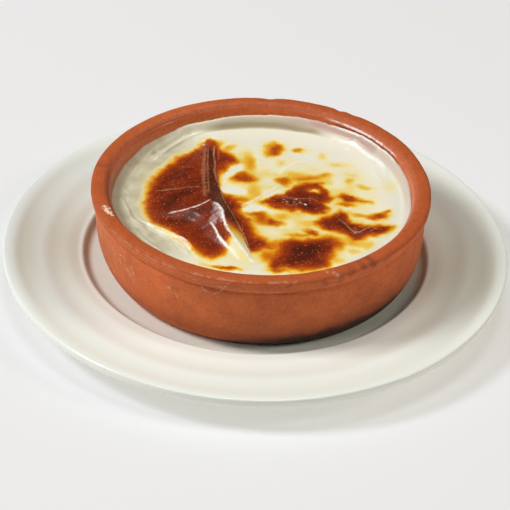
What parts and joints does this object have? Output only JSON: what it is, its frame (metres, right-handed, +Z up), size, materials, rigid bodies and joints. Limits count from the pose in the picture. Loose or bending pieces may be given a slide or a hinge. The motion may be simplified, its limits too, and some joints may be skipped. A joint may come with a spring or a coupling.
{
  "type": "rice pudding",
  "caption": "Oven-baked rice pudding with a browned, folded skin, filling a low red clay bowl that stands on a ringed white underplate.",
  "frame": {"origin": "middle of the underplate's foot ring, on the surface it stands on", "axes": "+Z up; +X to the right and +Y away as the serving is seen from its front"},
  "size_m": [0.202, 0.202, 0.0452],
  "materials": {
    "underplate": "glossy warm white glaze",
    "clay_bowl": "matt unglazed red clay outside, thin clear glaze inside",
    "pudding": "milk skin, satin to glossy, browned in patches"
  },
  "bodies": {
    "root": {"underplate": "underplate", "clay_bowl": "clay_bowl", "pudding": "pudding"}
  },
  "joints": []
}
